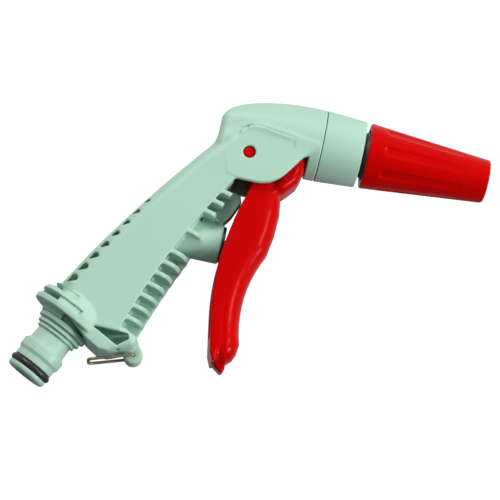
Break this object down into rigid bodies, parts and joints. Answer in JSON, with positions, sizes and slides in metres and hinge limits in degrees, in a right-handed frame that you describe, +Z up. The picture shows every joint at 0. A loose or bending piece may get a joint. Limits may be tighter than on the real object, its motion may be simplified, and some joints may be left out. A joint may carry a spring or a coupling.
{
  "type": "trigger spray gun",
  "caption": "Hand-held trigger spray gun for a garden hose, with a twist nozzle, a quick-connect plug, a ribbed grip and a wire clip that holds the trigger open.",
  "frame": {"origin": "middle of the hose plug's locking shoulder, on the plug's axis", "axes": "+X along the barrel in the spray direction, +Z up towards the barrel, +Y across; Y = 0 is the mirror plane"},
  "size_m": [0.1647, 0.0312, 0.1287],
  "materials": {
    "mint_plastic": "semi-gloss moulded polypropylene, pale mint",
    "red_plastic": "glossy moulded plastic, bright red",
    "black_rubber": "black nitrile rubber",
    "dark_plastic": "dark grey moulded plastic",
    "black_plastic": "black moulded plastic",
    "white_plastic": "natural white acetal",
    "spring_steel": "drawn stainless spring wire",
    "brass": "turned brass",
    "zinc_wire": "steel wire with a dull yellow-olive zinc finish"
  },
  "bodies": {
    "body": {"body_shell": "mint_plastic", "inlet_plug": "mint_plastic", "inlet_o_ring": "black_rubber", "plug_gasket": "black_rubber", "trigger_pin": "red_plastic", "barrel_collar": "mint_plastic", "outlet_spigot": "dark_plastic", "spigot_seal": "black_rubber", "spray_core": "white_plastic", "valve_seat": "white_plastic", "seat_o_ring": "black_rubber", "gland_nut": "black_plastic", "gland_o_ring": "black_rubber", "return_spring": "spring_steel"},
    "trigger": {"trigger": "red_plastic"},
    "valve_stem": {"valve_stem": "brass", "valve_washer": "black_rubber", "washer_retainer": "brass"},
    "nozzle_carrier": {"nozzle_o_ring": "black_rubber"},
    "nozzle": {"nozzle_sleeve": "red_plastic"},
    "lock_clip": {"lock_clip": "zinc_wire"}
  },
  "joints": [
    {"name": "trigger_pull", "type": "hinge", "parent": "body", "child": "trigger", "pos_m": [0.0604, 0, 0.0903], "axis": [0, 1, 0], "range_deg": [0, 13], "stiffness_Nm_per_rad": 1.5, "springref_deg": -5.73},
    {"name": "stem_push", "type": "slide", "parent": "body", "child": "valve_stem", "axis": [-1, 0, 0], "range_m": [0, 0.0083], "deforming": ["return_spring"]},
    {"name": "nozzle_travel", "type": "slide", "parent": "body", "child": "nozzle_carrier", "axis": [1, 0, 0], "range_m": [-0.0015, 0.0045]},
    {"name": "nozzle_twist", "type": "hinge", "parent": "nozzle_carrier", "child": "nozzle", "pos_m": [0.1123, 0, 0.1024], "axis": [1, 0, 0], "range_deg": [-90, 270]},
    {"name": "clip_swing", "type": "hinge", "parent": "body", "child": "lock_clip", "pos_m": [0.0336, 0, 0.006], "axis": [0, -1, 0], "range_deg": [0, 170]}
  ],
  "couplings": [
    {"joint": "stem_push", "follows": "trigger_pull", "m_per_rad": 0.0358},
    {"joint": "nozzle_twist", "follows": "nozzle_travel", "rad_per_m": 1047.2}
  ]
}
